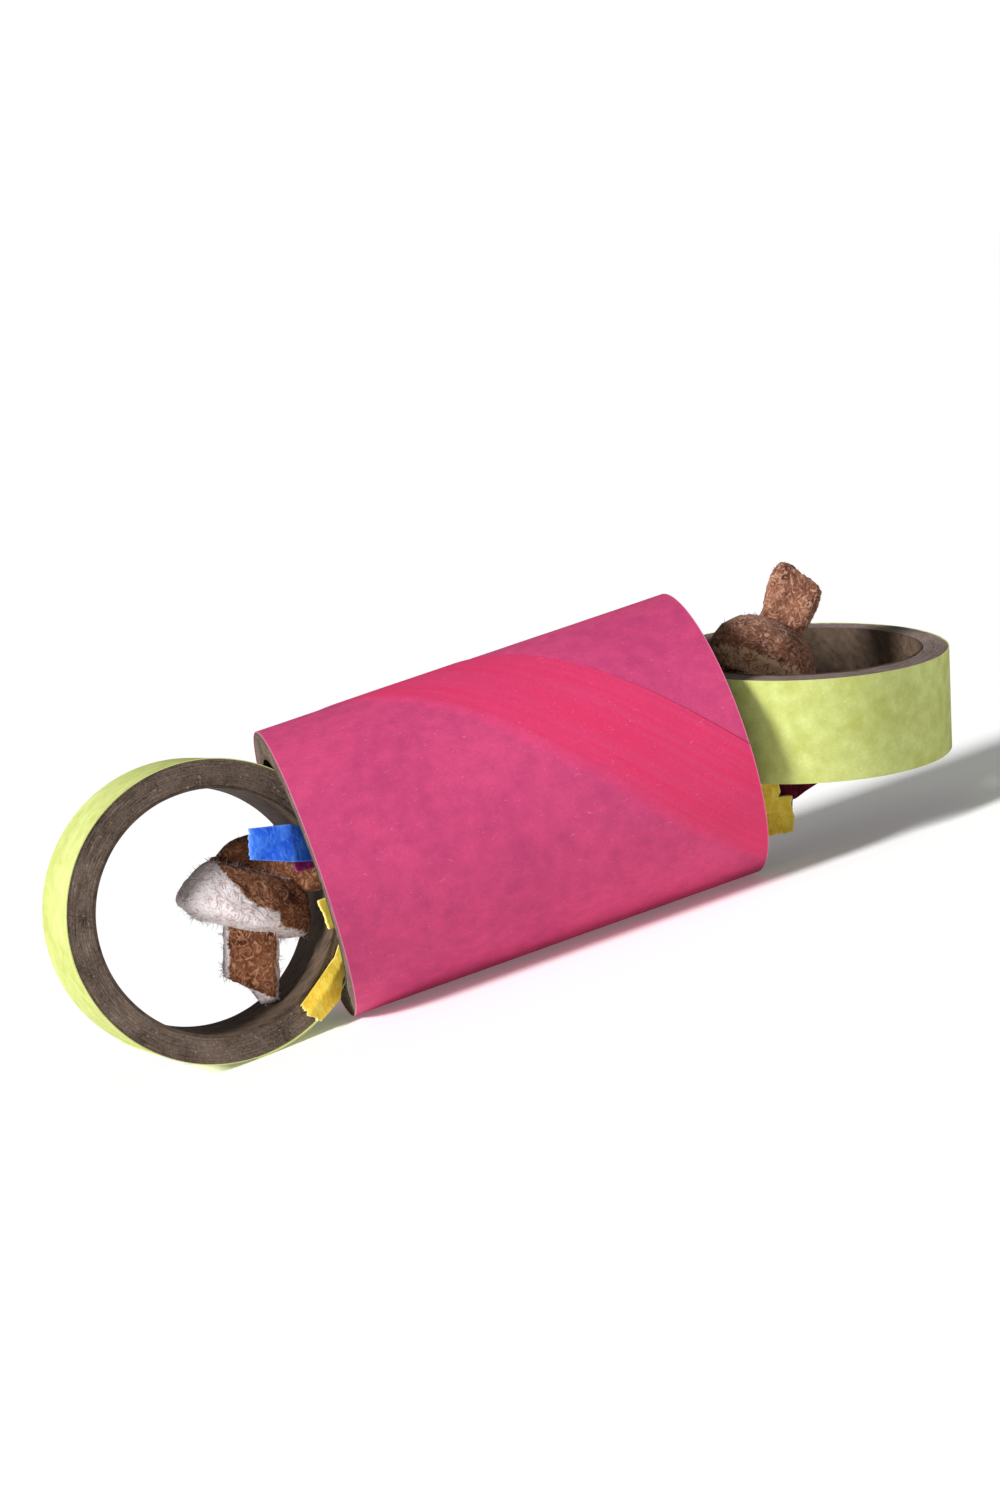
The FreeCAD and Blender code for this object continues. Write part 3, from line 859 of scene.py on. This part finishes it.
def card_strip(name, place, rows, finish, seed, torn_ends=(0,), ragged_side=False):
    """A strip of card creased along given lines.

    Each row is a list of points across the strip, in millimetres, and the first row is an end.
    Torn ends are numbered 0 for the first row and -1 for the last. A ragged side is torn too.
    """
    last_row, last_point = len(rows) - 1, len(rows[0]) - 1
    bpy.ops.object.select_all(action="DESELECT")
    bpy.ops.mesh.primitive_grid_add(x_subdivisions=last_row * CELLS_ALONG,
                                    y_subdivisions=last_point * CELLS_ACROSS, size=1)
    strip = bpy.context.object
    strip.name = name
    torn = []
    for corner in strip.data.vertices:
        along, across = (corner.co.x + 0.5) * last_row, (corner.co.y + 0.5) * last_point
        row, gap = min(int(along + 1e-6), last_row - 1), min(int(across + 1e-6), last_point - 1)
        first = Vector(rows[row][gap]).lerp(Vector(rows[row][gap + 1]), across - gap)
        second = Vector(rows[row + 1][gap]).lerp(Vector(rows[row + 1][gap + 1]), across - gap)
        point = first.lerp(second, along - row)
        way = (second - first).normalized()
        fray = 0.0
        for end in torn_ends:
            off = along if end == 0 else last_row - along
            if off < END_RAG:
                rag = noise.noise(Vector((across * 5.0, seed * 3.3, 0))) * 0.5
                rag += noise.noise(Vector((across * 15.0, seed * 1.3, 4))) * 0.3
                point += way * rag * (1 - off / END_RAG)
                fray = max(fray, 1 - off / 0.12)
        off = last_point - across
        if ragged_side and off < SIDE_RAG:
            rag = noise.noise(Vector((along * 6.0, seed, 9))) * 0.7
            outward = (Vector(rows[row][1]) - Vector(rows[row][0])).normalized()
            point += outward * rag * (1 - off / SIDE_RAG)
            fray = max(fray, 1 - off / 0.1)
        point += Vector((0, 0, 1)) * 0.12 * noise.noise(point * 0.5 + Vector((seed, 0, 0)))
        fray = max(fray, 0.8 * (1 - min(across, last_point - across) / 0.06))
        if 0 < round(along) < last_row:
            fray = max(fray, 0.45 * (1 - abs(along - round(along)) / 0.08))
        torn.append(max(0.0, min(1.0, fray)))
        corner.co = place @ (point * MM)
    mark = strip.data.attributes.new("torn", "FLOAT", "POINT")
    mark.data.foreach_set("value", torn)
    solid = strip.modifiers.new("card", "SOLIDIFY")
    solid.thickness = CARD_THICK
    solid.offset = 0
    bpy.ops.object.modifier_apply(modifier=solid.name)
    round_off = strip.modifiers.new("soft edge", "BEVEL")
    round_off.width = SOFT_EDGE
    round_off.segments = 2
    round_off.limit_method = "ANGLE"
    round_off.angle_limit = math.radians(50)
    bpy.ops.object.modifier_apply(modifier=round_off.name)
    bpy.ops.object.mode_set(mode="EDIT")
    bpy.ops.mesh.select_all(action="SELECT")
    bpy.ops.mesh.normals_make_consistent(inside=False)
    bpy.ops.object.mode_set(mode="OBJECT")
    bpy.ops.object.shade_smooth_by_angle(angle=math.radians(35))
    strip.data.materials.clear()
    strip.data.materials.append(finish)
    return strip


blue_card = card_finish("blue_card", linear(72, 138, 255), linear(36, 94, 234),
                        linear(140, 180, 255))
magenta_card = card_finish("magenta_card", linear(160, 40, 105), linear(110, 22, 72),
                           linear(205, 110, 160))
yellow_card = card_finish("yellow_card", linear(255, 228, 88), linear(232, 192, 56),
                          linear(255, 248, 170))
red_card = card_finish("red_card", linear(96, 14, 36), linear(52, 6, 20), linear(150, 60, 80))

LEFT_STRIPS = (
    ("blue_strip", "left_blue_strip", "blue_card", blue_card,
     [[(9.0, 11.3, 10.7), (7.4, 6.4, 10.8)], [(15.4, 9.8, 11.5), (14.5, 3.5, 11.6)],
      [(18.0, 8.4, 10.8), (17.6, 2.6, 10.8)], [(28.8, 8.4, 10.8), (28.8, 2.6, 10.8)]]),
    ("magenta_strip", "left_magenta_strip", "magenta_card", magenta_card,
     [[(14.8, 6.4, 9.6), (14.6, 1.5, 9.6)], [(18.0, 6.5, 9.6), (18.0, 1.3, 9.6)],
      [(27.8, 6.5, 9.6), (27.8, 1.3, 9.6)]]),
    ("short_yellow_strip", "left_short_yellow_strip", "yellow_card", yellow_card,
     [[(16.2, -3.9, 10.9), (16.5, -9.1, 10.9)], [(19.5, -3.9, 10.9), (19.5, -9.1, 10.9)],
      [(25.8, -3.9, 10.9), (25.8, -9.1, 10.9)]]),
    ("creased_yellow_strip", "left_folded_yellow_strip", "yellow_card", yellow_card,
     [[(8.1, -19.6, 9.5), (8.8, -21.4, 9.9), (10.6, -23.1, 9.5)],
      [(12.2, -16.7, 9.6), (13.1, -18.4, 10.2), (14.9, -20.7, 9.5)],
      [(16.2, -14.0, 9.6), (16.2, -15.9, 9.9), (16.2, -17.9, 9.5)],
      [(19.4, -10.2, 9.6), (19.4, -12.2, 9.7), (19.6, -14.6, 9.5)],
      [(22.4, -7.6, 9.6), (22.4, -9.6, 9.6), (22.4, -11.5, 9.6)]]),
)
for seed, (name, node, slot, finish, rows) in enumerate(LEFT_STRIPS, 1):
    strip = card_strip(name, ring_place["left"], rows, finish, seed)
    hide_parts(node)
    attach(strip, node)

# ------------------------------------------------------------------ card in the right mouth
# Two yellow strips and a dark red one, pushed in on edge under the ring. Each is pinched
# narrower where the ring presses it against the tube.
RIGHT_STRIPS = (
    ("front_yellow_strip", "right_front_yellow_strip", "yellow_card", yellow_card, False,
     [[(7.0, 5.9, -9.3), (7.2, 5.9, -17.7)], [(11.5, 6.0, -9.3), (11.5, 5.8, -17.8)],
      [(15.6, 5.9, -9.2), (15.8, 5.9, -16.6)], [(18.0, 5.9, -9.2), (18.0, 5.9, -13.2)],
      [(23.7, 5.9, -9.2), (23.7, 5.9, -13.2)]]),
    ("low_yellow_strip", "right_low_yellow_strip", "yellow_card", yellow_card, True,
     [[(4.1, 3.9, -15.6), (4.3, 3.9, -22.0)], [(9.5, 4.0, -15.2), (9.6, 3.8, -22.3)],
      [(15.6, 3.9, -11.4), (15.8, 3.9, -20.0)], [(18.0, 3.9, -9.2), (18.0, 3.9, -13.2)],
      [(23.7, 3.9, -9.2), (23.7, 3.9, -13.2)]]),
    ("dark_red_strip", "right_red_strip", "red_card", red_card, False,
     [[(-2.6, 1.9, -9.3), (-2.3, 1.9, -13.8)], [(3.0, 1.9, -9.3), (3.5, 1.9, -17.0)],
      [(3.6, 1.9, -9.3), (3.7, 1.9, -21.4)], [(8.0, 2.0, -9.3), (8.0, 1.8, -20.4)],
      [(15.6, 1.9, -9.2), (15.8, 1.9, -16.2)], [(18.0, 1.9, -9.2), (18.0, 1.9, -13.2)],
      [(23.7, 1.9, -9.2), (23.7, 1.9, -13.2)]]),
)
for seed, (name, node, slot, finish, ragged, rows) in enumerate(RIGHT_STRIPS, 11):
    strip = card_strip(name, ring_place["right"], rows, finish, seed, ragged_side=ragged)
    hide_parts(node)
    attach(strip, node)

# ------------------------------------------------------------------ card packed inside the tube
# Four more dyed strips, each folded along its length into a gutter and pushed right in, so the
# bird has to dig for them.
CORE_STRIPS = (
    ("green_core", "core_green_strip", "green_card", 45, (70, 160, 70), (35, 105, 45)),
    ("orange_core", "core_orange_strip", "orange_card", 135, (235, 130, 40), (185, 85, 20)),
    ("purple_core", "core_purple_strip", "purple_card", 225, (120, 70, 165), (80, 40, 120)),
    ("teal_core", "core_teal_strip", "teal_card", 315, (40, 150, 155), (20, 100, 110)),
)
CORE_GAPS = 6
core_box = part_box("core_green_strip")
for number, (name, node, slot, angle, base, shade) in enumerate(CORE_STRIPS):
    finish = card_finish(slot, linear(*base), linear(*shade),
                         linear(*(min(255, part + 70) for part in base)))
    turned = (Matrix.Translation((0, 0, STOCK_RADIUS))
              @ Matrix.Rotation(math.radians(angle), 4, "X"))
    rows = []
    for step in range(CORE_GAPS + 1):
        x = (core_box[0].x + (core_box[1].x - core_box[0].x) * step / CORE_GAPS) / MM
        sway = 0.35 * math.sin(step * 1.7 + number)
        rows.append([(x, -5.3, 12.5 + sway * 0.5), (x, 0.0, 12.3 - sway * 0.4),
                     (x, 4.9, 12.5), (x, 3.3 + sway * 0.5, 17.4)])
    strip = card_strip(name, turned, rows, finish, number + 21, torn_ends=(0, -1))
    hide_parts(node)
    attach(strip, "tube")
